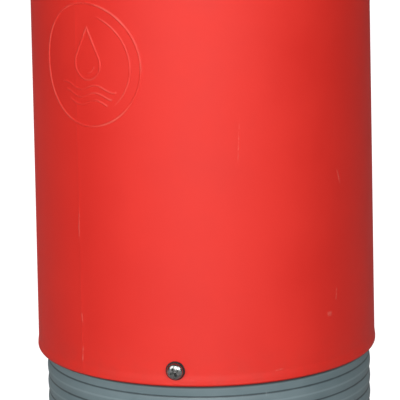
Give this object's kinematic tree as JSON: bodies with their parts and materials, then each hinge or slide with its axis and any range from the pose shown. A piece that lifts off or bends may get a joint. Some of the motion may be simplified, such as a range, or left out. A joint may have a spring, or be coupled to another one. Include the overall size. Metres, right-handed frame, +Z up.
{
  "type": "water filled barrier",
  "caption": "Round water filled barrier post: grey ribbed ballast tank under a red sleeve with reflective bands, service lid, lamp socket and folding carry handle.",
  "frame": {"origin": "on the floor, on the barrel's axis", "axes": "+Z up along the barrel, -Y to the front sleeve screw, +Y to the drain"},
  "size_m": [0.3413, 0.3528, 0.9975],
  "materials": {
    "red_polyethylene": "semi-gloss rotationally moulded polyethylene",
    "grey_polyethylene": "satin blue-grey polyethylene",
    "white_reflective_film": "smooth retroreflective film",
    "black_nylon": "fine moulded texture",
    "black_rubber": "matt",
    "stainless_steel": "bright, cold headed",
    "galvanised_steel": "zinc plated",
    "brass": "turned"
  },
  "bodies": {
    "root": {"ballast_tank": "grey_polyethylene", "rubber_feet": "black_rubber", "outer_sleeve": "red_polyethylene", "reflective_band_lower": "white_reflective_film", "reflective_band_upper": "white_reflective_film", "sleeve_inserts": "brass", "sleeve_washers": "black_rubber", "sleeve_screws": "stainless_steel", "top_cap": "grey_polyethylene", "top_cap_inserts": "brass", "top_cap_screws": "stainless_steel", "lamp_socket": "black_nylon", "lid_hinge_pin": "stainless_steel", "drain_bush": "brass", "handle_brackets": "galvanised_steel", "handle_bracket_screws": "stainless_steel"},
    "service_lid": {"service_lid": "grey_polyethylene", "lid_gasket": "black_rubber"},
    "lid_latch": {"latch_knob": "black_nylon", "latch_cam": "galvanised_steel", "latch_screw": "stainless_steel"},
    "filler_gasket": {"filler_gasket": "black_rubber"},
    "filler_cap": {"filler_cap": "black_nylon"},
    "drain_washer": {"drain_washer": "black_rubber"},
    "drain_plug": {"drain_plug": "black_nylon"},
    "carry_handle": {"carry_handle": "galvanised_steel", "handle_grip": "black_nylon"}
  },
  "joints": [
    {"name": "lid_hinge", "type": "hinge", "parent": "root", "child": "service_lid", "pos_m": [0, -0.0239, 0.981], "axis": [-1, 0, 0], "range_deg": [0, 95]},
    {"name": "latch_turn", "type": "hinge", "parent": "service_lid", "child": "lid_latch", "pos_m": [0, -0.1146, 0.9842], "axis": [0, 0, 1], "range_deg": [-90, 0]},
    {"name": "filler_lift", "type": "slide", "parent": "root", "child": "filler_gasket", "axis": [0, 0, 1], "range_m": [0, 0.01]},
    {"name": "filler_turn", "type": "hinge", "parent": "filler_gasket", "child": "filler_cap", "pos_m": [0, -0.0836, 0.943], "axis": [0, 0, 1], "range_deg": [0, 720]},
    {"name": "drain_withdraw", "type": "slide", "parent": "root", "child": "drain_washer", "axis": [0, 1, 0], "range_m": [0, 0.006]},
    {"name": "drain_turn", "type": "hinge", "parent": "drain_washer", "child": "drain_plug", "pos_m": [0, 0.1475, 0.045], "axis": [0, 1, 0], "range_deg": [0, 720]},
    {"name": "handle_swing", "type": "hinge", "parent": "root", "child": "carry_handle", "pos_m": [0, 0.03, 0.9863], "axis": [1, 0, 0], "range_deg": [0, 95]}
  ],
  "couplings": [
    {"joint": "filler_lift", "follows": "filler_turn", "m_per_rad": 0.00079577},
    {"joint": "drain_withdraw", "follows": "drain_turn", "m_per_rad": 0.00047746}
  ]
}
